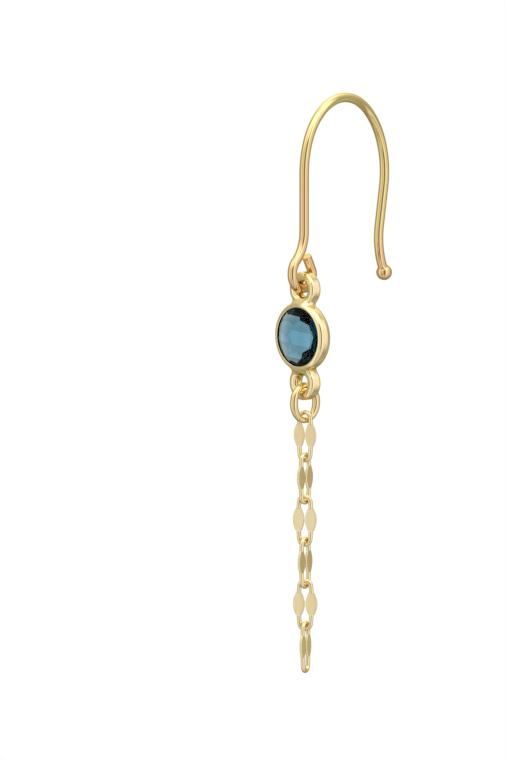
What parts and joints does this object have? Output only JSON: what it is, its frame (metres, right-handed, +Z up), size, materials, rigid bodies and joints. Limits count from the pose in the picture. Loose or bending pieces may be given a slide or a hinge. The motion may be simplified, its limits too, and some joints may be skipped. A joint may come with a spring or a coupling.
{
  "type": "topaz drop earring",
  "caption": "Drop earring: an open wire ear hook carries a round faceted stone in a gold cup, with a jump ring and a short chain of pressed leaf links hanging below it.",
  "frame": {"origin": "underside of the hook's crown, where the hook rests in the pierced ear lobe", "axes": "+Z up, the earring hangs down along -Z; +Y to the back of the hook, towards the ball at the tail's tip; +X to the side, across the flat hook"},
  "size_m": [0.0057, 0.014, 0.0473],
  "materials": {
    "gold_wire": "polished yellow gold wire",
    "cast_gold": "polished cast yellow gold",
    "pressed_gold": "pressed yellow gold with fine brushing",
    "topaz": "faceted greyish blue topaz"
  },
  "bodies": {
    "hook": {"ear_hook": "gold_wire"},
    "drop": {"bezel_setting": "cast_gold", "topaz_stone": "topaz", "jump_ring": "gold_wire", "chain_link_1": "pressed_gold", "chain_link_2": "pressed_gold", "chain_link_3": "pressed_gold", "chain_link_4": "pressed_gold", "chain_link_5": "pressed_gold", "chain_link_6": "pressed_gold"}
  },
  "joints": [
    {"name": "drop_swing", "type": "hinge", "parent": "hook", "child": "drop", "pos_m": [0, -0.00557, -0.01487], "axis": [0, 1, 0], "range_deg": [-60, 60]}
  ]
}
